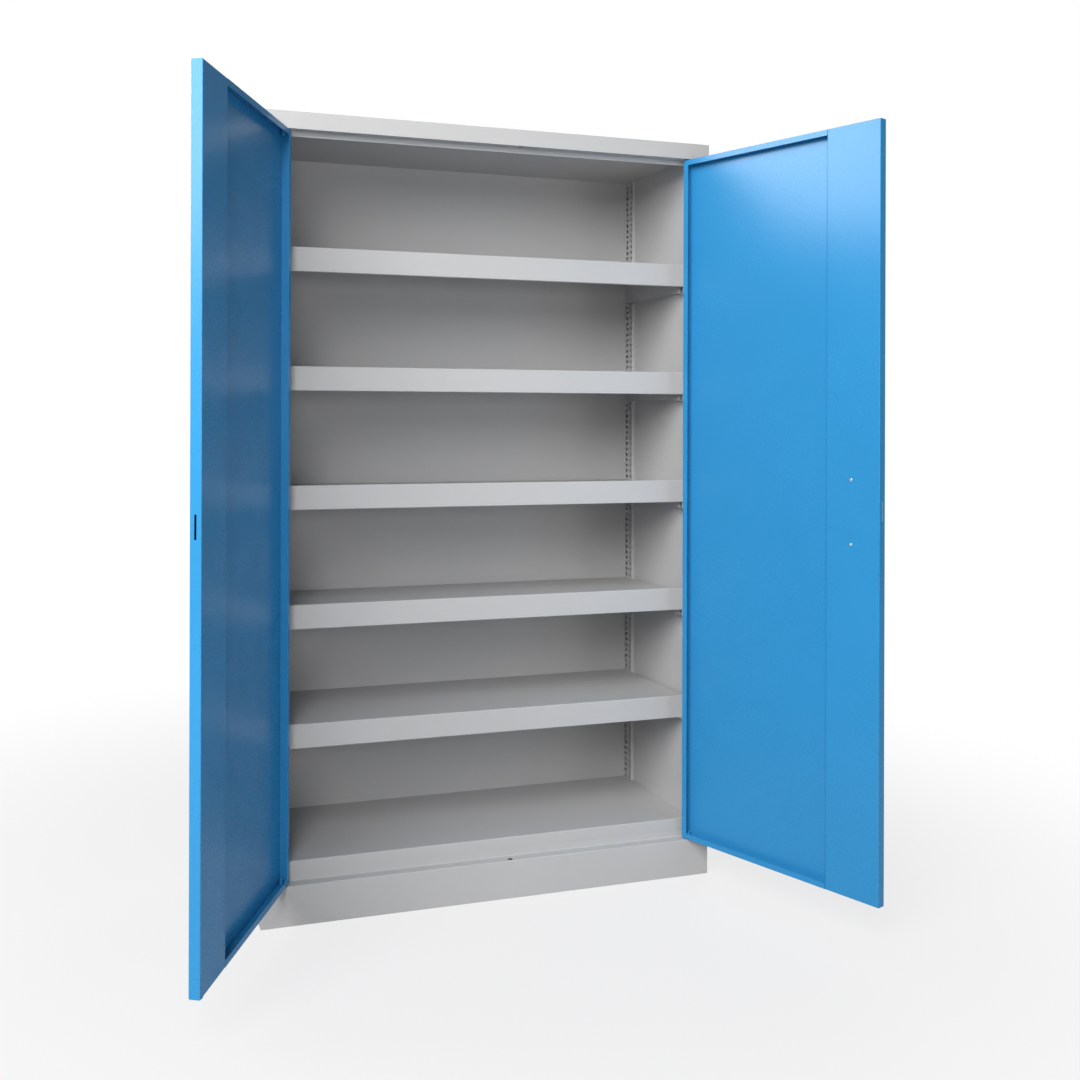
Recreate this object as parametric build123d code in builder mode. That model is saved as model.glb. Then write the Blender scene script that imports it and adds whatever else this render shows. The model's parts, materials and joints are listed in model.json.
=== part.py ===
"""Two-door steel cabinet with ball shelves, doors standing open, in millimetres.

The origin is on the ground at the middle of the carcass, +Z is up and the doors face -Y.
"""

import os
from math import cos, radians, sin, sqrt

from build123d import *

# Overall size of the carcass
width = 1200.0
depth = 400.0
height = 1950.0

# Sheet and bends
sheet = 1.0
upright_sheet = 1.5
bend = 2.0

# Front of the carcass
header_height = 41.5
plinth_height = 96.5
stile_width = 35.0
door_recess = 28.5
side_thickness = 32.0
stile_weld = 12.0
foot_return = 20.0
panel_return = 30.0

# Floor and ceiling
floor_height = 145.0
floor_lip = 28.0
floor_flange = 24.0
ceiling_drop = 28.0
ceiling_stop_lip = 26.0
ceiling_flange = 18.0
support_width = 60.0
support_flange = 15.0

# Perforated uprights and shelf clips
upright_width = 44.0
front_upright_width = 34.0
upright_height = 7.5
upright_setback = 2.0
slot_width = 10.0
slot_height = 8.0
slot_pitch = 16.25
slot_first = 6.0
slot_setback = 10.0
clip_width = 16.0
clip_reach = 12.0
clip_tongue = 30.0
clip_thickness = 1.5
clip_height = 18.0
clip_neck_drop = 11.0
clip_fit = 0.25

# Shelves, counted in slots from the floor: four ball shelves from the top, then the flat one
ball_shelf_slots = (86, 68, 50, 32)
flat_shelf_slot = 15
shelf_setback = 60.0
shelf_rear_gap = 2.0
shelf_end_gap = 1.5
shelf_flange = 60.0
rail_height = 60.0
rail_lip = 15.0
rail_rise = 16.0
rail_foot = 12.0

# Doors
door_thickness = 24.0
door_gap = 2.5
door_hinge_gap = 4.5
door_centre_gap = 3.0
door_lip = 14.0
stiffener_width = 135.0
door_edge_round = 1.5
left_open = 118.2
right_open = 111.3

# Door pivots: pins fixed in the sill and header, bushes in the doors
pivot_from_edge = 11.0
pivot_from_face = 8.5
pin_radius = 3.0
pin_head_radius = 5.0
pin_head = 3.0
pin_reach = 17.0
bush_wall = 1.5
bush_length = 14.0
bush_flange_radius = 6.5
running_fit = 0.05
seat_gap = 0.3

# Lock in the right door: crank pins on a disc drive two rods and a bolt
lock_height = 1000.0
lock_from_edge = 48.0
crank_radius = 12.0
crank_pin_radius = 2.5
crank_play = 0.45
crank_disc_radius = 18.0
crank_disc = (7.0, 9.0)
rod_plate = (3.5, 6.5)
rod_plate_width = 12.0
rod_plate_end = 8.0
rod_plate_lap = 6.0
rod_radius = 5.0
rod_depth = 9.0
rod_end_gap = 1.0
upper_rod_start = 40.0
lower_rod_start = 24.0
bolt_layer = (9.5, 13.5)
bolt_height = 48.0
bolt_rise = 6.0
bolt_tail = (16.0, 5.5, 22.0)
bolt_shoulder = 8.0
bolt_set_in = 1.0
bolt_fit = 0.3
spindle_radius = 4.5
spindle_square = 6.2
case_width = 70.0
case_height = 170.0
case_sheet = 2.0
case_boss_radius = 8.0
case_boss_start = 14.5
lock_screw_pitch = 151.0
lock_screw_from_edge = 72.0
lock_screw_radius = 2.0
lock_screw_head = (4.0, 1.2)
rod_guide_size = (22.0, 12.0)
rod_guide_heights = (500.0, 1500.0)
strike_hole_radius = 7.0

# Handle on the outside of the right door
rose_radius = 23.0
rose_thickness = 5.0
hub_radius = 17.0
hub_height = 20.0
grip_length = 110.0
grip_width = 22.0
grip_depth = 14.0
cylinder_radius = 9.0
cylinder_depth = 12.0
cylinder_proud = 1.0
key_slot = (1.6, 8.0, 3.0)

# Glide under the free corner of the left door
glide_size = (14.0, 10.0, 2.0)

# Worked-out places
front_y = -depth / 2
rear_y = depth / 2
side_x = width / 2
header_bottom = height - header_height
ceiling_z = height - ceiling_drop
stop_y = front_y + door_recess
back_y = rear_y - 2 * sheet
inner_x = side_x - side_thickness
upright_x = inner_x - upright_height
shelf_length = 2 * (upright_x - shelf_end_gap)
shelf_front_y = front_y + shelf_setback
shelf_rear_y = back_y - shelf_rear_gap
front_upright_y = stop_y + upright_setback
rear_upright_y = back_y - upright_width
front_slot_y = front_upright_y + front_upright_width - slot_setback
rear_slot_y = rear_upright_y + slot_setback
slot_bottom_z = floor_height + slot_first
slot_count = int((ceiling_z - slot_bottom_z - slot_height) / slot_pitch) + 1

door_bottom = plinth_height + door_gap
door_top = header_bottom - door_gap
door_height = door_top - door_bottom
door_edge_x = side_x - stile_width - door_hinge_gap
door_width = door_edge_x - door_centre_gap / 2
pivot_x = door_edge_x - pivot_from_edge
pivot_y = front_y + pivot_from_face
free_edge = door_width - pivot_from_edge
bush_radius = pin_radius + running_fit + bush_wall
skin_inner = door_thickness - sheet

lock_w = free_edge - lock_from_edge
crank_offset = crank_radius / sqrt(2)
rod_offset = crank_radius
bolt_z = lock_height + bolt_rise


class Door:
    """A door's frame where it stands open: w runs from pivot to free edge, t from face to inside."""

    def __init__(self, hand, opening):
        angle = radians(opening)
        self.hand = hand
        self.pivot = Vector(-hand * pivot_x, pivot_y, 0)
        self.along = Vector(cos(angle), -hand * sin(angle), 0)
        self.inward = Vector(hand * sin(angle), cos(angle), 0)

    def plan(self, z):
        """Plane across the door at height z, with local x = hand * w and y = t."""
        origin = self.pivot - self.inward * pivot_from_face + Vector(0, 0, z)
        return Plane(origin=origin, x_dir=self.along, z_dir=(0, 0, 1))

    def face(self, t):
        """Plane parallel to the door at depth t, with local x = hand * w and y = z, facing outwards."""
        origin = self.pivot + self.inward * (t - pivot_from_face)
        return Plane(origin=origin, x_dir=self.along, z_dir=-self.inward)

    def edge(self, w):
        """Plane across the door's width at w, with local x = t and y = z."""
        origin = self.pivot - self.inward * pivot_from_face + self.along * (self.hand * w)
        return Plane(origin=origin, x_dir=self.inward, z_dir=self.inward.cross(Vector(0, 0, 1)))


left_door = Door(1, left_open)
right_door = Door(-1, right_open)


def fold(plane, points, side, thickness=sheet):
    """Section of a folded sheet whose outer line runs through the points."""
    with BuildSketch(plane) as section:
        with BuildLine():
            FilletPolyline(*points, radius=bend)
            offset(amount=thickness, side=side)
        make_face()
    return section.sketch


def write(part, name):
    """Label a finished piece and write its file."""
    part.label = name
    export_step(part, f"parts/{name}.step")


os.makedirs("parts", exist_ok=True)

# Plinth: a front panel folded into sill ledge and stop, and a panel on each other side of the base
with BuildPart() as plinth_front:
    foot_profile = [(front_y + foot_return, 0), (front_y, 0), (front_y, plinth_height)]
    sill_profile = foot_profile + [
        (stop_y + sheet, plinth_height),
        (stop_y + sheet, floor_height - 2 * sheet),
    ]
    extrude(fold(Plane.YZ, sill_profile, Side.RIGHT), amount=door_edge_x, both=True)
    end_profile = foot_profile + [(stop_y - 2 * bend, plinth_height)]
    for hand in (-1, 1):
        section = fold(Plane.YZ.offset(hand * door_edge_x), end_profile, Side.RIGHT)
        extrude(section, amount=hand * (side_x - sheet - door_edge_x))
    with BuildSketch(Plane.XY.offset(plinth_height - sheet)):
        with Locations((-pivot_x, pivot_y), (pivot_x, pivot_y)):
            Circle(pin_radius + running_fit)
        with Locations((door_centre_gap / 2 + lock_from_edge - rod_offset, front_y + rod_depth)):
            Circle(strike_hole_radius)
    extrude(amount=sheet, mode=Mode.SUBTRACT)
write(plinth_front.part, "plinth_front")

for hand, name in ((-1, "left_plinth"), (1, "right_plinth")):
    with BuildPart() as plinth_side:
        with BuildSketch(Plane.YZ.offset(hand * side_x)):
            with Locations((0, plinth_height / 2)):
                Rectangle(depth, plinth_height)
        extrude(amount=-hand * sheet)
        return_start = stop_y + 2 * sheet
        return_end = rear_y - panel_return
        for z, reach in ((0, foot_return), (plinth_height - sheet, panel_return)):
            with BuildSketch(Plane.XY.offset(z)):
                with Locations((hand * (side_x - reach / 2), (return_start + return_end) / 2)):
                    Rectangle(reach, return_end - return_start)
            extrude(amount=sheet)
    write(plinth_side.part, name)

with BuildPart() as rear_plinth:
    rear_profile = [
        (rear_y - foot_return, 0),
        (rear_y, 0),
        (rear_y, plinth_height),
        (rear_y - panel_return, plinth_height),
    ]
    extrude(fold(Plane.YZ, rear_profile, Side.LEFT), amount=side_x - sheet, both=True)
write(rear_plinth.part, "rear_plinth")

# Support channel under the middle of the floor
with BuildPart() as floor_support:
    half = support_width / 2
    channel = [
        (-half + support_flange, floor_height - sheet),
        (-half, floor_height - sheet),
        (-half, 0),
        (half, 0),
        (half, floor_height - sheet),
        (half - support_flange, floor_height - sheet),
    ]
    support_start = stop_y + 4 * sheet
    support_end = rear_y - panel_return
    plane = Plane(origin=(0, support_start, 0), x_dir=(1, 0, 0), z_dir=(0, -1, 0))
    extrude(fold(plane, channel, Side.LEFT), amount=-(support_end - support_start))
write(floor_support.part, "floor_support")

# Side panels: outer sheet with the front stile, its return, and a rear return
for hand, name in ((-1, "left_side_panel"), (1, "right_side_panel")):
    side_profile = [
        (hand * (inner_x + stile_weld), stop_y),
        (hand * (side_x - stile_width), stop_y),
        (hand * (side_x - stile_width), front_y),
        (hand * side_x, front_y),
        (hand * side_x, rear_y),
        (hand * inner_x, rear_y),
    ]
    with BuildPart() as side_panel:
        turn = Side.LEFT if hand > 0 else Side.RIGHT
        section = fold(Plane.XY.offset(plinth_height), side_profile, turn)
        extrude(section, amount=header_bottom - plinth_height)
    write(side_panel.part, name)

# Inner walls: liner sheets that close the side panels and carry the uprights
for hand, name in ((-1, "left_inner_wall"), (1, "right_inner_wall")):
    wall_profile = [
        (hand * (side_x - 2 * sheet), stop_y),
        (hand * inner_x, stop_y),
        (hand * inner_x, back_y),
    ]
    with BuildPart() as inner_wall:
        turn = Side.LEFT if hand < 0 else Side.RIGHT
        wall_top = height - 2 * sheet
        extrude(fold(Plane.XY.offset(plinth_height), wall_profile, turn), amount=wall_top - plinth_height)
        with BuildSketch(Plane.XY.offset(header_bottom)):
            with Locations((hand * side_x, stop_y)):
                Rectangle(2 * (side_x - inner_x) - 6 * sheet, 4 * bend)
        extrude(amount=sheet, mode=Mode.SUBTRACT)
    write(inner_wall.part, name)

# Back panel between the side panels, in front of their rear returns
with BuildPart() as back_panel:
    with BuildSketch(Plane.XZ.offset(-back_y)):
        with Locations((0, (plinth_height + height - 2 * sheet) / 2)):
            Rectangle(width - 4 * sheet, height - 2 * sheet - plinth_height)
    extrude(amount=-sheet)
write(back_panel.part, "back_panel")

# Floor pan with a stop lip in front and flanges turned down all round
with BuildPart() as floor_pan:
    pan_profile = [
        (stop_y, floor_height - floor_lip),
        (stop_y, floor_height),
        (back_y, floor_height),
        (back_y, floor_height - floor_flange),
    ]
    extrude(fold(Plane.YZ, pan_profile, Side.RIGHT), amount=inner_x, both=True)
    with BuildSketch(Plane.YZ.offset(inner_x - sheet)):
        with Locations(((stop_y + back_y) / 2, floor_height - sheet - floor_flange / 2)):
            Rectangle(back_y - stop_y - 8 * bend, floor_flange)
    extrude(amount=sheet)
    mirror(about=Plane.YZ)
write(floor_pan.part, "floor_pan")

# Ceiling panel: its front lip is the doors' upper stop, its other edges are turned up
with BuildPart() as ceiling_panel:
    ceiling_profile = [
        (stop_y, ceiling_z - ceiling_stop_lip),
        (stop_y, ceiling_z + sheet),
        (back_y, ceiling_z + sheet),
    ]
    extrude(fold(Plane.YZ, ceiling_profile, Side.RIGHT), amount=inner_x, both=True)
    with BuildSketch(Plane.YZ.offset(inner_x - sheet)):
        with Locations(((stop_y + back_y) / 2, ceiling_z + sheet + ceiling_flange / 2)):
            Rectangle(back_y - stop_y - 8 * bend, ceiling_flange)
    extrude(amount=sheet)
    mirror(about=Plane.YZ)
    with BuildSketch(Plane.XZ.offset(-back_y + sheet)):
        with Locations((0, ceiling_z + sheet + ceiling_flange / 2)):
            Rectangle(2 * inner_x - 8 * bend, ceiling_flange)
    extrude(amount=-sheet)
write(ceiling_panel.part, "ceiling_panel")

# Top cover: a tray turned over the carcass, its front edge folded back under the header
with BuildPart() as top_cover:
    with BuildSketch(Plane.XY.offset(header_bottom)):
        Rectangle(width, depth)
    extrude(amount=header_height)
    fillet(edges().filter_by(Axis.Z), radius=bend)
    fillet(faces().sort_by(Axis.Z)[-1].edges(), radius=bend)
    offset(amount=-sheet, openings=faces().sort_by(Axis.Z)[0])
    with BuildSketch(Plane.XY.offset(header_bottom)):
        with Locations((0, (front_y + stop_y) / 2)):
            Rectangle(width - 2 * sheet, door_recess - 2 * sheet)
        with Locations((-pivot_x, pivot_y), (pivot_x, pivot_y)):
            Circle(pin_radius + running_fit, mode=Mode.SUBTRACT)
        with Locations((door_centre_gap / 2 + lock_from_edge + rod_offset, front_y + rod_depth)):
            Circle(strike_hole_radius, mode=Mode.SUBTRACT)
    extrude(amount=sheet)
write(top_cover.part, "top_cover")

# Perforated uprights in the four corners
for hand, side_name in ((-1, "left"), (1, "right")):
    for start_y, face_width, slot_y, end_name in (
        (front_upright_y, front_upright_width, front_slot_y, "front"),
        (rear_upright_y, upright_width, rear_slot_y, "rear"),
    ):
        upright_profile = [
            (hand * inner_x, start_y),
            (hand * upright_x, start_y),
            (hand * upright_x, start_y + face_width),
            (hand * inner_x, start_y + face_width),
        ]
        turn = Side.RIGHT if hand > 0 else Side.LEFT
        with BuildPart() as upright:
            section = fold(Plane.XY.offset(floor_height), upright_profile, turn, upright_sheet)
            extrude(section, amount=ceiling_z - floor_height)
            slots_z = slot_bottom_z + (slot_count - 1) * slot_pitch / 2
            slot_middle = (hand * upright_x, slot_y, slots_z)
            slot_plane = Plane(origin=slot_middle, x_dir=(0, 1, 0), z_dir=(-hand, 0, 0))
            with BuildSketch(slot_plane):
                with GridLocations(0, slot_pitch, 1, slot_count):
                    Rectangle(slot_width, slot_height)
            extrude(amount=-upright_sheet, mode=Mode.SUBTRACT)
        write(upright.part, f"{end_name}_{side_name}_upright")


def shelf_seat(slot):
    """Height of a shelf's lower flange edge when its clips hang in the given slot."""
    return slot_bottom_z + slot * slot_pitch + clip_neck_drop


# Shelf clips: a plate hooked through the upright's slot, with a tongue under the shelf's side flange
with BuildPart() as shelf_clips:
    for slot in (*ball_shelf_slots, flat_shelf_slot):
        seat = shelf_seat(slot)
        for hand in (-1, 1):
            for slot_y, inward in ((front_slot_y, 1), (rear_slot_y, -1)):
                plate_profile = [
                    (hand * upright_x, seat - clip_height),
                    (hand * upright_x, seat),
                    (hand * (upright_x - clip_thickness), seat),
                    (hand * (upright_x - clip_thickness), seat - clip_height),
                ]
                tongue_profile = [
                    (hand * upright_x, seat - clip_thickness),
                    (hand * upright_x, seat),
                    (hand * (upright_x - clip_reach), seat),
                    (hand * (upright_x - clip_reach), seat - clip_thickness),
                ]
                neck_bottom = seat - clip_neck_drop - slot_height / 2 + clip_fit
                neck_top = seat - clip_neck_drop + slot_height / 2 - clip_fit
                hook_x = upright_x + upright_sheet + clip_fit
                neck_profile = [
                    (hand * upright_x, neck_bottom),
                    (hand * upright_x, neck_top),
                    (hand * (hook_x + clip_thickness), neck_top),
                    (hand * (hook_x + clip_thickness), neck_bottom - clip_thickness),
                    (hand * hook_x, neck_bottom - clip_thickness),
                    (hand * hook_x, neck_bottom),
                ]
                neck_side = slot_width / 2 - clip_fit
                for profile, start, end in (
                    (plate_profile, -clip_width / 2, clip_width / 2),
                    (tongue_profile, -clip_width / 2, clip_tongue),
                    (neck_profile, -neck_side, neck_side),
                ):
                    with BuildSketch(Plane.XZ.offset(-slot_y - inward * start)):
                        with BuildLine():
                            Polyline(*profile, close=True)
                        make_face()
                    extrude(amount=-inward * (end - start))
write(shelf_clips.part, "shelf_clips")


def shelf(seat, rise):
    """Shelf resting on its flange edges: front rail, floor set down by rise, flanges at sides and rear."""
    floor_z = seat + shelf_flange
    rail_top = floor_z + rise
    profile = [
        (shelf_front_y + rail_foot, rail_top - rail_height),
        (shelf_front_y, rail_top - rail_height),
        (shelf_front_y, rail_top),
    ]
    if rise:
        profile += [(shelf_front_y + rail_lip, rail_top), (shelf_front_y + rail_lip, floor_z)]
    profile += [(shelf_rear_y, floor_z), (shelf_rear_y, seat)]
    flange_front_y = shelf_front_y + rail_lip
    with BuildPart() as tray:
        extrude(fold(Plane.YZ, profile, Side.RIGHT), amount=shelf_length / 2, both=True)
        with BuildSketch(Plane.YZ.offset(shelf_length / 2 - sheet)):
            with Locations(((flange_front_y + shelf_rear_y) / 2, seat + (shelf_flange - sheet) / 2)):
                Rectangle(shelf_rear_y - flange_front_y - 2 * bend, shelf_flange - sheet)
        extrude(amount=sheet)
        mirror(about=Plane.YZ)
    return tray.part


for number, slot in enumerate(ball_shelf_slots, start=1):
    write(shelf(shelf_seat(slot), rail_rise), f"ball_shelf_{number}")
write(shelf(shelf_seat(flat_shelf_slot), 0), "flat_shelf")

# Hinge pins: headed pins standing up from the sill and hanging from the header
for hand, name in ((-1, "left_hinge_pins"), (1, "right_hinge_pins")):
    with BuildPart() as hinge_pins:
        for seat_z, up in ((plinth_height - sheet, 1), (header_bottom + sheet, -1)):
            with BuildSketch(Plane.XY.offset(seat_z)):
                with Locations((hand * pivot_x, pivot_y)):
                    Circle(pin_head_radius)
            extrude(amount=-up * pin_head)
            with BuildSketch(Plane.XY.offset(seat_z)):
                with Locations((hand * pivot_x, pivot_y)):
                    Circle(pin_radius)
            extrude(amount=up * pin_reach)
    write(hinge_pins.part, name)


def door_skin(door):
    """Folded tray: face sheet, walls on four sides, lips at the hinge side, top and bottom."""
    hand = door.hand
    middle = (free_edge - pivot_from_edge) / 2
    lip_end = free_edge - stiffener_width
    with BuildPart() as skin:
        with BuildSketch(door.plan(door_bottom)):
            with Locations((hand * middle, door_thickness / 2)):
                Rectangle(door_width, door_thickness)
        extrude(amount=door_height)
        across = faces().sort_by(Axis(tuple(door.pivot), tuple(door.inward)))
        fillet(across[0].edges() + across[-1].edges(), radius=door_edge_round)
        with BuildSketch(door.face(door_thickness)):
            with Locations((hand * middle, (door_bottom + door_top) / 2)):
                Rectangle(door_width - 2 * sheet, door_height - 2 * sheet)
        extrude(amount=door_thickness - sheet, mode=Mode.SUBTRACT)
        with BuildSketch(door.face(door_thickness)):
            with Locations((hand * (lip_end - pivot_from_edge) / 2, (door_bottom + door_top) / 2)):
                Rectangle(lip_end + pivot_from_edge, door_height)
            lip_start = door_lip - pivot_from_edge
            with Locations((hand * (lip_start + lip_end) / 2, (door_bottom + door_top) / 2)):
                Rectangle(lip_end - lip_start, door_height - 2 * door_lip, mode=Mode.SUBTRACT)
        extrude(amount=sheet)
        for z in (door_bottom, door_top - sheet):
            with BuildSketch(door.plan(z)):
                with Locations((0, pivot_from_face)):
                    Circle(bush_radius + running_fit)
            extrude(amount=sheet, mode=Mode.SUBTRACT)
        with BuildSketch(door.edge(free_edge)):
            with Locations(((bolt_layer[0] + bolt_layer[1]) / 2, bolt_z)):
                bolt_thickness = bolt_layer[1] - bolt_layer[0]
                Rectangle(bolt_thickness + 2 * bolt_fit, bolt_height + 2 * bolt_fit)
        extrude(amount=sheet, both=True, mode=Mode.SUBTRACT)
        if hand < 0:
            with BuildSketch(door.face(0)):
                with Locations((hand * lock_w, lock_height)):
                    Circle(spindle_radius + sheet)
            extrude(amount=-sheet, mode=Mode.SUBTRACT)
            for z, offset_w in ((door_bottom, rod_offset), (door_top - sheet, -rod_offset)):
                with BuildSketch(door.plan(z)):
                    with Locations((hand * (lock_w + offset_w), rod_depth)):
                        Circle(rod_radius + seat_gap)
                extrude(amount=sheet, mode=Mode.SUBTRACT)
    return skin.part


def door_stiffener(door):
    """Lock-side stiffener: a plate flush with the lips and a return down to the face sheet."""
    hand = door.hand
    start = free_edge - stiffener_width
    profile = [
        (hand * start, sheet),
        (hand * start, door_thickness),
        (hand * (free_edge - sheet), door_thickness),
    ]
    with BuildPart() as stiffener:
        section = fold(door.plan(door_bottom + sheet), profile, Side.RIGHT if hand > 0 else Side.LEFT)
        extrude(section, amount=door_height - 2 * sheet)
        if hand < 0:
            screw_w = free_edge - lock_screw_from_edge
            with BuildSketch(door.face(door_thickness)):
                for side in (-1, 1):
                    with Locations((hand * screw_w, lock_height + side * lock_screw_pitch / 2)):
                        Circle(lock_screw_radius + running_fit)
            extrude(amount=sheet, mode=Mode.SUBTRACT)
    return stiffener.part


def door_bushes(door):
    """Flanged bushes in the door's top and bottom walls, running on the hinge pins."""
    flange_thickness = door_gap - seat_gap
    with BuildPart() as bushes:
        for wall_z, up in ((door_bottom, 1), (door_top, -1)):
            for start, radius, amount in (
                (wall_z, bush_flange_radius, -up * flange_thickness),
                (wall_z, bush_radius, up * bush_length),
            ):
                with BuildSketch(door.plan(start)):
                    with Locations((0, pivot_from_face)):
                        Circle(radius)
                extrude(amount=amount)
            with BuildSketch(door.plan(wall_z - up * flange_thickness)):
                with Locations((0, pivot_from_face)):
                    Circle(pin_radius + running_fit)
            extrude(amount=up * (bush_length + flange_thickness), mode=Mode.SUBTRACT)
    return bushes.part


for door, side_name in ((left_door, "left"), (right_door, "right")):
    write(door_skin(door), f"{side_name}_door_skin")
    write(door_stiffener(door), f"{side_name}_door_stiffener")
    write(door_bushes(door), f"{side_name}_door_bushes")

# Glide under the free corner of the left door
with BuildPart() as door_glide:
    with BuildSketch(left_door.plan(door_bottom)):
        with Locations((free_edge - glide_size[0], door_thickness - glide_size[1] / 2 - sheet)):
            RectangleRounded(glide_size[0], glide_size[1], glide_size[1] / 3)
    extrude(amount=-glide_size[2])
write(door_glide.part, "left_door_glide")

# Lock case: a base plate screwed to the stiffener, with the spindle's bearing boss
lock_plan_x = -lock_w
with BuildPart() as lock_case:
    with BuildSketch(right_door.face(skin_inner)):
        with Locations((lock_plan_x, lock_height)):
            RectangleRounded(case_width, case_height, 2 * bend)
        screw_x = -(free_edge - lock_screw_from_edge)
        for side in (-1, 1):
            with Locations((screw_x, lock_height + side * lock_screw_pitch / 2)):
                Circle(lock_screw_radius + running_fit, mode=Mode.SUBTRACT)
    extrude(amount=case_sheet)
    with BuildSketch(right_door.face(skin_inner - case_sheet)):
        with Locations((lock_plan_x, lock_height)):
            Circle(case_boss_radius)
    extrude(amount=skin_inner - case_sheet - case_boss_start)
    with BuildSketch(right_door.face(case_boss_start)):
        with Locations((lock_plan_x, lock_height)):
            Circle(spindle_radius + running_fit)
    extrude(amount=case_boss_start - skin_inner, mode=Mode.SUBTRACT)
write(lock_case.part, "lock_case")

# Lock screws through the stiffener into the case
with BuildPart() as lock_screws:
    for side in (-1, 1):
        place = (screw_x, lock_height + side * lock_screw_pitch / 2)
        with BuildSketch(right_door.face(door_thickness)):
            with Locations(place):
                Circle(lock_screw_head[0])
        extrude(amount=-lock_screw_head[1])
        with BuildSketch(right_door.face(door_thickness)):
            with Locations(place):
                Circle(lock_screw_radius)
        extrude(amount=sheet + case_sheet)
write(lock_screws.part, "lock_screws")

# Rod guides: blocks on the inside of the stiffener that the rods slide through
with BuildPart() as rod_guides:
    for guide_z, offset_w in zip(rod_guide_heights, (rod_offset, -rod_offset)):
        guide_x = -(lock_w + offset_w)
        guide_depth = skin_inner - rod_plate[0]
        with BuildSketch(right_door.plan(guide_z)):
            with Locations((guide_x, skin_inner - guide_depth / 2)):
                Rectangle(rod_guide_size[0], guide_depth)
            with Locations((guide_x, rod_depth)):
                Circle(rod_radius + seat_gap, mode=Mode.SUBTRACT)
        extrude(amount=rod_guide_size[1])
write(rod_guides.part, "rod_guides")

# Lock rotor: spindle, disc, two crank pins towards the face for the rods and one inwards for the bolt
with BuildPart() as lock_rotor:
    spindle_end = skin_inner - case_sheet / 2
    with BuildSketch(right_door.face(-rose_thickness)):
        with Locations((lock_plan_x, lock_height)):
            Circle(spindle_radius)
    extrude(amount=-(spindle_end + rose_thickness))
    with BuildSketch(right_door.face(-rose_thickness)):
        with Locations((lock_plan_x, lock_height)):
            Rectangle(spindle_square, spindle_square)
    extrude(amount=hub_height / 2)
    with BuildSketch(right_door.face(crank_disc[0])):
        with Locations((lock_plan_x, lock_height)):
            Circle(crank_disc_radius)
    extrude(amount=-(crank_disc[1] - crank_disc[0]))
    with BuildSketch(right_door.face(crank_disc[0])):
        for side in (-1, 1):
            with Locations((-(lock_w + side * crank_offset), lock_height + side * crank_offset)):
                Circle(crank_pin_radius)
    extrude(amount=crank_disc[0] - rod_plate[0])
    with BuildSketch(right_door.face(crank_disc[1])):
        with Locations((-(lock_w - crank_offset), lock_height + crank_offset)):
            Circle(crank_pin_radius)
    extrude(amount=-(bolt_layer[1] - crank_disc[1]))
write(lock_rotor.part, "lock_rotor")


def lock_rod(side):
    """Rod with a forked end plate: side 1 runs down on the free-edge side, side -1 runs up."""
    rod_w = lock_w + side * rod_offset
    pin_z = lock_height + side * crank_offset
    start = lower_rod_start if side > 0 else upper_rod_start
    rod_z = lock_height - side * start
    end_z = door_bottom + rod_end_gap if side > 0 else door_top - rod_end_gap
    plate_top = pin_z + side * rod_plate_end
    plate_low = rod_z - side * rod_plate_lap
    plate_thickness = rod_plate[1] - rod_plate[0]
    fork_end = crank_radius + crank_pin_radius + crank_play
    with BuildPart() as rod:
        with BuildSketch(right_door.plan(rod_z)):
            with Locations((-rod_w, rod_depth)):
                Circle(rod_radius)
        extrude(amount=end_z - rod_z)
        with BuildSketch(right_door.face(rod_plate[0])):
            with Locations((-rod_w, (plate_top + plate_low) / 2)):
                Rectangle(rod_plate_width, abs(plate_top - plate_low))
            with Locations((-(lock_w + side * fork_end / 2), pin_z)):
                fork = 2 * (crank_pin_radius + crank_play)
                Rectangle(fork_end, fork, mode=Mode.SUBTRACT)
        extrude(amount=-plate_thickness)
    return rod.part


write(lock_rod(-1), "upper_rod")
write(lock_rod(1), "lower_rod")

# Latch bolt: a head that leaves through the free edge and a forked tail on the inner crank pin
with BuildPart() as latch_bolt:
    tail_reach, tail_low, tail_high = bolt_tail
    nose = lock_from_edge - bolt_set_in
    head_low = bolt_z - bolt_height / 2 - lock_height
    head_high = bolt_z + bolt_height / 2 - lock_height
    bolt_outline = [
        (-tail_reach, tail_low),
        (bolt_shoulder, tail_low),
        (bolt_shoulder, head_low),
        (nose, head_low),
        (nose, head_high),
        (bolt_shoulder, head_high),
        (bolt_shoulder, tail_high),
        (-tail_reach, tail_high),
    ]
    fork_top = crank_radius + crank_pin_radius + crank_play
    with BuildSketch(right_door.face(bolt_layer[0])):
        with BuildLine():
            Polyline(*[(-(lock_w + w), lock_height + z) for w, z in bolt_outline], close=True)
        make_face()
        with Locations((-(lock_w - crank_offset), lock_height + fork_top / 2)):
            Rectangle(2 * (crank_pin_radius + crank_play), fork_top, mode=Mode.SUBTRACT)
    extrude(amount=-(bolt_layer[1] - bolt_layer[0]))
write(latch_bolt.part, "latch_bolt")

# Handle: rose on the door, turning hub with a rounded cross grip, and the lock cylinder in its face
with BuildPart() as handle_rose:
    with BuildSketch(right_door.face(0)):
        with Locations((lock_plan_x, lock_height)):
            Circle(rose_radius)
            Circle(spindle_radius + running_fit, mode=Mode.SUBTRACT)
    extrude(amount=rose_thickness)
    rim = faces().sort_by(Axis(tuple(right_door.pivot), tuple(right_door.inward)))[0]
    fillet(rim.edges().sort_by(SortBy.LENGTH)[-1], radius=rose_thickness / 2)
write(handle_rose.part, "handle_rose")

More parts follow.
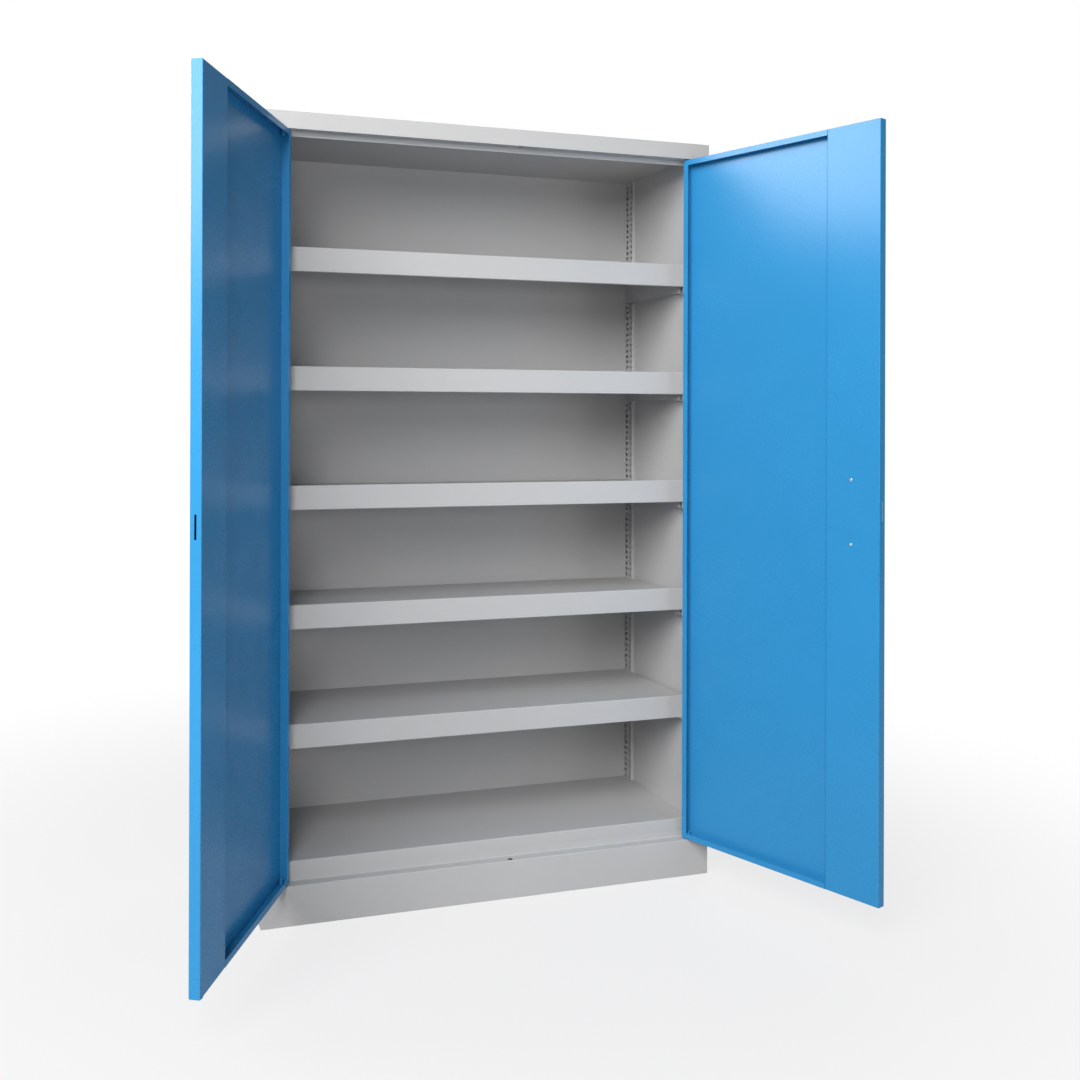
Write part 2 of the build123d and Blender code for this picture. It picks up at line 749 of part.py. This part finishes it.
with BuildPart() as handle:
    hub_start = -(rose_thickness + seat_gap)
    with BuildSketch(right_door.face(hub_start)):
        with Locations((lock_plan_x, lock_height)):
            Circle(hub_radius)
    extrude(amount=hub_height)
    with BuildSketch(right_door.face(hub_start - hub_height + grip_depth / 2)):
        with Locations((lock_plan_x, lock_height)):
            SlotOverall(grip_length, grip_width, rotation=90)
    extrude(amount=grip_depth)
    tip = faces().sort_by(Axis(tuple(right_door.pivot), tuple(right_door.inward)))[0]
    fillet(tip.edges(), radius=grip_depth / 3)
    with BuildSketch(right_door.face(hub_start)):
        with Locations((lock_plan_x, lock_height)):
            Rectangle(spindle_square + 2 * running_fit, spindle_square + 2 * running_fit)
    extrude(amount=hub_height / 2, mode=Mode.SUBTRACT)
    handle_face = hub_start - hub_height - grip_depth / 2
    with BuildSketch(right_door.face(handle_face)):
        with Locations((lock_plan_x, lock_height)):
            Circle(cylinder_radius + running_fit)
    extrude(amount=-cylinder_depth, mode=Mode.SUBTRACT)
write(handle.part, "handle")

with BuildPart() as lock_cylinder:
    with BuildSketch(right_door.face(handle_face + cylinder_depth)):
        with Locations((lock_plan_x, lock_height)):
            Circle(cylinder_radius)
    extrude(amount=cylinder_depth + cylinder_proud)
    with BuildSketch(right_door.face(handle_face - cylinder_proud)):
        with Locations((lock_plan_x, lock_height)):
            Rectangle(key_slot[0], key_slot[1])
    extrude(amount=-key_slot[2], mode=Mode.SUBTRACT)
write(lock_cylinder.part, "lock_cylinder")
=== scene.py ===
import json
from math import pi, radians

import bmesh
import bpy
import numpy as np
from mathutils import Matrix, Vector


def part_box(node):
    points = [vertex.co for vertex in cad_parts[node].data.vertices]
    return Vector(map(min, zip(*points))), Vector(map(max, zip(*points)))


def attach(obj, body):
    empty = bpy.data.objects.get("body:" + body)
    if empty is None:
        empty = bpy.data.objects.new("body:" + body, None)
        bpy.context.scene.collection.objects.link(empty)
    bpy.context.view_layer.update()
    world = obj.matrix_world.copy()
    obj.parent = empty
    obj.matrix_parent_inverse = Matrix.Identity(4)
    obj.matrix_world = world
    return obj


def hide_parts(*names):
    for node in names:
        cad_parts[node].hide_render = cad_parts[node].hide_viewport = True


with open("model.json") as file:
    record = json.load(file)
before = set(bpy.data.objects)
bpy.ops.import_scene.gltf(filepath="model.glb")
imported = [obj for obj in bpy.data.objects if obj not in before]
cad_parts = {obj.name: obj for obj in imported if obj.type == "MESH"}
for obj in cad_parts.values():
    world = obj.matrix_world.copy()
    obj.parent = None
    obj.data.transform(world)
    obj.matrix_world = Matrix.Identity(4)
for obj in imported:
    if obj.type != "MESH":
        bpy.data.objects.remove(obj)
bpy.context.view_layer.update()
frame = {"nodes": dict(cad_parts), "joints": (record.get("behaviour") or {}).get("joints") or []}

# Studio floor: a wide sheet of white paper that the cabinet stands on. The camera sees it white,
# a mirrored ray sees less of it, and close to the cabinet it keeps the soft shadow.
scene = bpy.context.scene
scene.view_settings.view_transform = "Standard"
floor_half = 30.0
floor_tone = (0.45, 0.45, 0.45, 1)
floor_roughness = 0.9
floor_specular = 0.1
paper_white = (1, 1, 1, 1)
mirrored_share = 0.18
shadow_share = 0.25
shadow_near = 0.7
shadow_far = 2.6
plinth_inset = 0.002


def sheet_mesh(name, points, closed_u=False, skip=None):
    """Surface through a grid of points, rows v and columns u: a quad between each four neighbours,
    with the last column joined to the first where u is closed, and without the skipped cells."""
    rows, columns = points.shape[:2]
    index = np.arange(rows * columns).reshape(rows, columns)
    if closed_u:
        index = np.concatenate([index, index[:, :1]], axis=1)
    quads = np.stack([index[:-1, :-1], index[:-1, 1:], index[1:, 1:], index[1:, :-1]], axis=-1)
    keep = np.ones(quads.shape[:2], bool) if skip is None else ~skip
    mesh = bpy.data.meshes.new(name)
    mesh.from_pydata(points.reshape(-1, 3), [], quads[keep].reshape(-1, 4))
    mesh.update()
    piece = bpy.data.objects.new(name, mesh)
    scene.collection.objects.link(piece)
    return piece


class Wire:
    """A shader socket used in Python expressions: an operator on numbers adds a Math node."""

    def __init__(self, socket):
        self.socket = socket
        self.tree = socket.id_data

    def node(self, kind, settings, sockets, out=0):
        """Add a node: its settings first, then the values or wires of its sockets."""
        made = self.tree.nodes.new(kind)
        for name, value in settings.items():
            setattr(made, name, value)
        for key, value in sockets.items():
            if isinstance(value, Wire):
                self.tree.links.new(value.socket, made.inputs[key])
            else:
                made.inputs[key].default_value = value
        return Wire(made.outputs[out])

    def math(self, operation, first, second=0.0):
        """Math node on numbers. An operation with one operand leaves the second unread."""
        return self.node("ShaderNodeMath", {"operation": operation}, {0: first, 1: second})

    def vector(self, operation, first, second=(0, 0, 0), out="Vector"):
        """Vector Math node. An operation with one operand leaves the second unread."""
        return self.node("ShaderNodeVectorMath", {"operation": operation}, {0: first, 1: second}, out)

    def __add__(self, other):
        return self.math("ADD", self, other)

    def __sub__(self, other):
        return self.math("SUBTRACT", self, other)

    def __rsub__(self, other):
        return self.math("SUBTRACT", other, self)

    def __mul__(self, other):
        return self.math("MULTIPLY", self, other)

    __radd__ = __add__
    __rmul__ = __mul__

    def feed(self, socket):
        self.tree.links.new(self.socket, socket)


def new_material(name):
    """A material with its Principled shader, and a wire of its Object coordinates to start from."""
    made = bpy.data.materials.new(name)
    made.use_nodes = True
    shader = made.node_tree.nodes["Principled BSDF"]
    place = Wire(shader.outputs[0]).node("ShaderNodeTexCoord", {}, {}, "Object")
    return made, shader, place


def seen_rays(start):
    """1 for camera rays, a share for mirrored and transmitted rays, 0 for the rays of light."""
    path = start.node("ShaderNodeLightPath", {}, {}, "Is Camera Ray")
    outputs = path.socket.node.outputs
    bounced = path.math("MAXIMUM", Wire(outputs["Is Glossy Ray"]), Wire(outputs["Is Transmission Ray"]))
    return path.math("MAXIMUM", path, bounced * mirrored_share)


floor_ends = np.array([-floor_half, floor_half])
floor_points = np.stack(np.broadcast_arrays(floor_ends[None, :], floor_ends[:, None], 0.0), axis=-1)
floor = sheet_mesh("studio_floor", floor_points)

studio_paper, shader, place = new_material("studio_paper")
shader.inputs["Base Color"].default_value = floor_tone
shader.inputs["Roughness"].default_value = floor_roughness
shader.inputs["Specular IOR Level"].default_value = floor_specular
distance = place.vector("LENGTH", place, out="Value")
fade = distance.node("ShaderNodeMapRange", {"interpolation_type": "SMOOTHSTEP"},
                     {"Value": distance, "From Min": shadow_near, "From Max": shadow_far})
carcass_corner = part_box("top_cover")[1]
covered = (carcass_corner[0] - plinth_inset, carcass_corner[1] - plinth_inset, 0.0)
outside = place.vector("SUBTRACT", place.vector("ABSOLUTE", place), covered)
beside = outside.node("ShaderNodeSeparateXYZ", {}, {"Vector": outside}, "X")
before = Wire(beside.socket.node.outputs["Y"])
open_floor = beside.math("GREATER_THAN", beside.math("MAXIMUM", beside, before), 0.0)
paper_share = (fade * shadow_share + (1 - shadow_share)) * open_floor * seen_rays(place)
glow = place.node("ShaderNodeEmission", {}, {"Color": paper_white, "Strength": 1.0})
lit = place.node("ShaderNodeMixShader", {}, {0: paper_share, 1: Wire(shader.outputs[0]), 2: glow})
lit.feed(studio_paper.node_tree.nodes["Material Output"].inputs["Surface"])
floor.data.materials.append(studio_paper)

# Studio light: a white room, a large soft lamp high on the left and weaker ones in front and behind.
# A window stands beyond the left door, and its pane shows only as gloss on the right door.
ambient = 0.05
world = bpy.data.worlds.new("studio_room")
world.use_nodes = True
room = world.node_tree.nodes["Background"]
room.inputs["Color"].default_value = paper_white
(seen_rays(Wire(room.outputs[0])) * (1 - ambient) + ambient).feed(room.inputs["Strength"])
scene.world = world


def soft_lamp(name, place, target, size, power):
    """Square area lamp at a place, turned to face its target."""
    lamp = bpy.data.lights.new(name, "AREA")
    lamp.size = size
    lamp.energy = power
    stand = bpy.data.objects.new(name, lamp)
    stand.location = place
    stand.rotation_euler = (Vector(target) - Vector(place)).to_track_quat("-Z", "Y").to_euler()
    scene.collection.objects.link(stand)
    return stand


soft_lamp("key_lamp", place=(-2.9, -3.5, 3.6), target=(0.0, -0.2, 1.1), size=3.4, power=390)
soft_lamp("camera_lamp", place=(-1.2, -3.3, 1.35), target=(0.1, 0.0, 0.8), size=0.5, power=12)
soft_lamp("fill_lamp", place=(1.7, -3.6, 1.1), target=(-0.5, -0.3, 0.9), size=1.2, power=20)
rear = soft_lamp("rear_lamp", place=(3.0, 2.6, 1.2), target=(0.2, 0.0, 1.0), size=2.2, power=140)
rear.visible_glossy = False
soft_lamp("window_lamp", place=(-3.6, 0.5, 2.7), target=(0.6, -0.5, 1.6), size=1.6, power=46)
pane = soft_lamp("window_pane", place=(-3.7, 0.4, 3.0), target=(0.6, -0.5, 1.6), size=2.0, power=90)
pane.visible_diffuse = False

# Camera: at chest height in front of the left door, level and turned to the right. The lens and
# its axis are given in pixels of a square image.
image_width = 1080
focal_pixels = 1135.7
axis_pixel = (413.8, 417.6)
camera_place = (-1.0369, -2.8820, 1.2177)
camera_yaw = radians(16.853)
camera_roll = radians(-0.170)
camera_data = bpy.data.cameras.new("photo_camera")
camera_data.lens = focal_pixels / image_width * camera_data.sensor_width
camera_data.shift_x = 0.5 - axis_pixel[0] / image_width
camera_data.shift_y = axis_pixel[1] / image_width - 0.5
camera = bpy.data.objects.new("photo_camera", camera_data)
camera.location = camera_place
camera.rotation_euler = (pi / 2, camera_roll, -camera_yaw)
scene.collection.objects.link(camera)
scene.camera = camera

# Carcass: folded sheet steel with a light grey powder coat, semi-gloss with a fine orange peel.
# Plinth, side panels, inner walls, back, floor, ceiling and top are spot-welded together.
carcass_grey = (0.445, 0.442, 0.44)
carcass_roughness = 0.42
coat_specular = 0.3


def noise(place, scale, detail):
    """Noise that lies evenly about 0, from -0.5 to 0.5, with its scale in cells per metre."""
    settings = {"Vector": place, "Scale": scale, "Detail": detail}
    return place.node("ShaderNodeTexNoise", {}, settings, "Fac") - 0.5


def tinted(colour, tone):
    """A colour scaled by a tone that lies about 1."""
    scaled = {"Vector": colour, "Scale": tone}
    return tone.node("ShaderNodeVectorMath", {"operation": "SCALE"}, scaled, "Vector")


def emboss(shader, height):
    """Relief from a height in metres, put on the shader's normal by a Bump node."""
    bump = height.node("ShaderNodeBump", {}, {"Strength": 1.0, "Distance": 1.0, "Height": height})
    bump.feed(shader.inputs["Normal"])


def powder_coat(name, colour, roughness):
    """Baked powder: colour and roughness vary by a slow drift plus a fine speckle, a few percent each.
    The relief is the orange peel of the powder plus the slow wave of the rolled sheet."""
    made, shader, place = new_material(name)
    drift = noise(place, scale=2.6, detail=3.0)
    speckle = noise(place, scale=420.0, detail=2.0)
    tone_drift, tone_speckle = 0.12, 0.06
    gloss_drift, gloss_speckle = 0.10, 0.08
    tinted(colour, drift * tone_drift + speckle * tone_speckle + 1.0).feed(shader.inputs["Base Color"])
    (drift * gloss_drift + speckle * gloss_speckle + roughness).feed(shader.inputs["Roughness"])
    shader.inputs["Specular IOR Level"].default_value = coat_specular
    peel = noise(place, scale=340.0, detail=1.0)
    wave = noise(place, scale=3.2, detail=1.0)
    peel_height, wave_height = 0.00004, 0.0016
    emboss(shader, peel * peel_height + wave * wave_height)
    return made


def dress(material, *nodes):
    """Give CAD nodes a finish through their own material slots."""
    for node in nodes:
        slots = frame["nodes"][node].data.materials
        slots.clear()
        slots.append(material)


carcass_paint = powder_coat("carcass_paint", carcass_grey, carcass_roughness)
dress(
    carcass_paint,
    "plinth_front", "left_plinth", "right_plinth", "rear_plinth", "floor_support",
    "left_side_panel", "right_side_panel", "left_inner_wall", "right_inner_wall",
    "back_panel", "floor_pan", "ceiling_panel", "top_cover",
)

# Uprights: strips of folded sheet steel with punched slots, two columns on the rear ones and one on
# the front ones, welded to the inner walls and painted with the carcass.
slot_pitch = 0.01625
slot_first = 0.006
slot_size = (0.010, 0.008)
half_each_way = np.array([-0.5, 0.5])
rear_columns = (0.010, 0.033)
front_columns = (0.024,)
upright_sheet = 0.0015
upright_bend = 0.002
bend_points = 5


def perforated_upright(name, hand, columns):
    """Folded section (u), a flat face between two rounded bends and flanks that reach the wall, carried
    up Z (v). The cells where a column (u) meets the height of a slot (v) are punched out."""
    low, high = (np.array(corner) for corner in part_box(name))
    face_x, wall_x = (low[0], high[0]) if hand > 0 else (high[0], low[0])
    span = high[1] - low[1]
    turn = np.linspace(0, pi / 2, bend_points)
    corner_x = upright_bend * (1 - np.sin(turn))
    corner_y = upright_bend * (1 - np.cos(turn))
    sides = (np.array(columns)[:, None] + half_each_way * slot_size[0]).ravel()
    across = np.concatenate([[0], corner_y, sides, span - corner_y[::-1], [span]])
    proud = abs(wall_x - face_x)
    depth = np.concatenate([[proud], corner_x, 0 * sides, corner_x[::-1], [proud]])
    middles = np.arange(low[2] + slot_first, high[2] - slot_size[1], slot_pitch)
    ends = (middles[:, None] + half_each_way * slot_size[1]).ravel()
    heights = np.concatenate([[low[2]], ends, [high[2]]])
    grid = np.stack(np.broadcast_arrays(
        (face_x + hand * depth)[None, :],
        (low[1] + across)[None, :],
        heights[:, None],
    ), axis=-1)
    skip = np.zeros((len(heights) - 1, len(across) - 1), bool)
    first = 1 + bend_points
    skip[1::2, first:first + len(sides):2] = True
    strip = sheet_mesh(name + "_strip", grid, skip=skip)
    wall = strip.modifiers.new("sheet", "SOLIDIFY")
    wall.thickness = upright_sheet
    wall.offset = -hand
    strip.data.materials.append(carcass_paint)
    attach(strip, "carcass")
    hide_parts(name)


for side, hand in (("left", -1), ("right", 1)):
    perforated_upright(f"rear_{side}_upright", hand, rear_columns)
    perforated_upright(f"front_{side}_upright", hand, front_columns)

# Shelf clips and hinge pins: small zinc-plated steel, dull and a little blue. The clips hook into
# the uprights' slots, and the pins are riveted to the sill and the header.
zinc_grey = (0.78, 0.79, 0.81)
zinc_roughness = 0.345
zinc, shader, place = new_material("zinc_plate")
shader.inputs["Metallic"].default_value = 1.0
bloom = noise(place, scale=90.0, detail=3.0)
bloom_tone, bloom_gloss = 0.19, 0.25
tinted(zinc_grey, bloom * bloom_tone + 1.0).feed(shader.inputs["Base Color"])
(bloom * bloom_gloss + zinc_roughness).feed(shader.inputs["Roughness"])
dress(zinc, "shelf_clips", "left_hinge_pins", "right_hinge_pins")

# Shelves: folded trays in the carcass's grey powder coat, four with a raised front rail and one
# flat. They lie loose on the clips.
dress(carcass_paint, "ball_shelf_1", "ball_shelf_2", "ball_shelf_3", "ball_shelf_4", "flat_shelf")

# Doors: trays of sheet steel with a stiffener welded in along the lock side and bushes that turn
# on the hinge pins, in a blue powder coat that is glossier than the carcass.
door_blue = (0.028, 0.236, 0.495)
door_roughness = 0.27
door_paint = powder_coat("door_paint", door_blue, door_roughness)
dress(
    door_paint,
    "left_door_skin", "left_door_stiffener", "left_door_bushes",
    "right_door_skin", "right_door_stiffener", "right_door_bushes",
)

# Rod lock: a zinc-plated case behind the right door's stiffener, a rotor on the handle's spindle,
# and the two rods and the bolt that the rotor's pins push out.
dress(zinc, "lock_case", "lock_rotor", "upper_rod", "lower_rod", "latch_bolt")

# Lock screws: two zinc-plated pan heads with a cross recess, driven through the right door's
# stiffener into the lock case. They stand out as bright dots on the blue.
screw_radius = 0.004
screw_rise = 0.0012
screw_pitch = 0.151
screw_reach = 0.476
inner_face = 0.0155
dome_power = 6
dome_edge = 0.9
dome_rings = 23
rim_start = 0.92
rim_rings = 6
screw_facets = 96
recess_reach = 0.0022
recess_half = 0.0005
recess_depth = 0.0008
recess_side = 0.0002
recess_end = 0.0004
merge_distance = 1e-7
rim_angle = radians(85)
joints = {joint["name"]: joint for joint in frame["joints"]}
hinge_place = np.array(joints["right_door_hinge"]["pos_m"])
lock_place = joints["handle_turn"]["pos_m"]
outward = np.array(joints["handle_turn"]["axis"])
along = np.array(joints["latch_bolt_slide"]["axis"])
upward = np.array([0.0, 0.0, 1.0])


def screw_head(name, height):
    """Profile (v) turned about the screw's axis (u): out over a flat dome that falls steeply at its
    rim, then straight back along the base. A cross of two soft-sided grooves is taken off the dome."""
    top_rings = np.linspace(0, dome_edge, dome_rings)
    radius = np.concatenate([top_rings, np.linspace(rim_start, 1, rim_rings), [0]])[:, None]
    dome = screw_rise * np.sqrt(1 - radius ** dome_power)
    dome[-1] = 0
    turn = np.linspace(0, 2 * pi, screw_facets, endpoint=False)[None, :]
    x = screw_radius * radius * np.cos(turn)
    y = screw_radius * radius * np.sin(turn)
    grooves = [
        np.clip((recess_half - abs(side)) / recess_side + 0.5, 0, 1)
        * np.clip((recess_reach - abs(far)) / recess_end + 0.5, 0, 1)
        for side, far in ((x, y), (y, x))
    ]
    rise = np.maximum(dome - recess_depth * np.maximum(*grooves), 0)
    middle = np.array([*hinge_place[:2], height]) + screw_reach * along - inner_face * outward
    points = middle + x[..., None] * along + y[..., None] * upward - rise[..., None] * outward
    head = sheet_mesh(name, points, closed_u=True)
    shell = bmesh.new()
    shell.from_mesh(head.data)
    bmesh.ops.remove_doubles(shell, verts=shell.verts, dist=merge_distance)
    bmesh.ops.recalc_face_normals(shell, faces=shell.faces)
    shell.to_mesh(head.data)
    shell.free()
    head.data.shade_smooth()
    head.data.set_sharp_from_angle(angle=rim_angle)
    head.data.materials.append(zinc)
    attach(head, "right_door")
    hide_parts("lock_screws")


screw_head("upper_lock_screw", lock_place[2] + screw_pitch / 2)
screw_head("lower_lock_screw", lock_place[2] - screw_pitch / 2)

# Moulded plastic: the rod guides and the glide under the left door, black polyamide, clipped in.
# The turning handle and its rose are a finer, glossier moulding, screwed on from inside.
guide_black = (0.02, 0.02, 0.022)
guide_roughness = 0.5
handle_black = (0.016, 0.016, 0.017)
handle_roughness = 0.4


def moulded_plastic(name, colour, roughness):
    """Spark-eroded mould grain: one fine noise varies the colour and the roughness and embosses them."""
    made, shader, place = new_material(name)
    grain = noise(place, scale=900.0, detail=2.0)
    grain_tone, grain_gloss, grain_height = 0.3, 0.2, 0.00006
    tinted(colour, grain * grain_tone + 1.0).feed(shader.inputs["Base Color"])
    (grain * grain_gloss + roughness).feed(shader.inputs["Roughness"])
    emboss(shader, grain * grain_height)
    return made


dress(moulded_plastic("black_plastic", guide_black, guide_roughness), "left_door_glide", "rod_guides")
dress(moulded_plastic("handle_plastic", handle_black, handle_roughness), "handle", "handle_rose")

# Lock cylinder: nickel-plated brass plug with a keyway, pressed into the handle's face, which
# shows the fine rings of the lathe.
nickel_warm = (0.66, 0.63, 0.58)
nickel_roughness = 0.225
ring_pitch = 0.0004
nickel, shader, place = new_material("cylinder_nickel")
shader.inputs["Metallic"].default_value = 1.0
from_axis = place.vector("CROSS_PRODUCT", place.vector("SUBTRACT", place, lock_place), outward)
radius = from_axis.vector("LENGTH", from_axis, out="Value")
rings = radius.math("SINE", radius * (2 * pi / ring_pitch))
tarnish = noise(place, scale=300.0, detail=2.0)
ring_gloss, tarnish_gloss, tarnish_tone = 0.03, 0.15, 0.1
tinted(nickel_warm, tarnish * tarnish_tone + 1.0).feed(shader.inputs["Base Color"])
(rings * ring_gloss + tarnish * tarnish_gloss + nickel_roughness).feed(shader.inputs["Roughness"])
dress(nickel, "lock_cylinder")
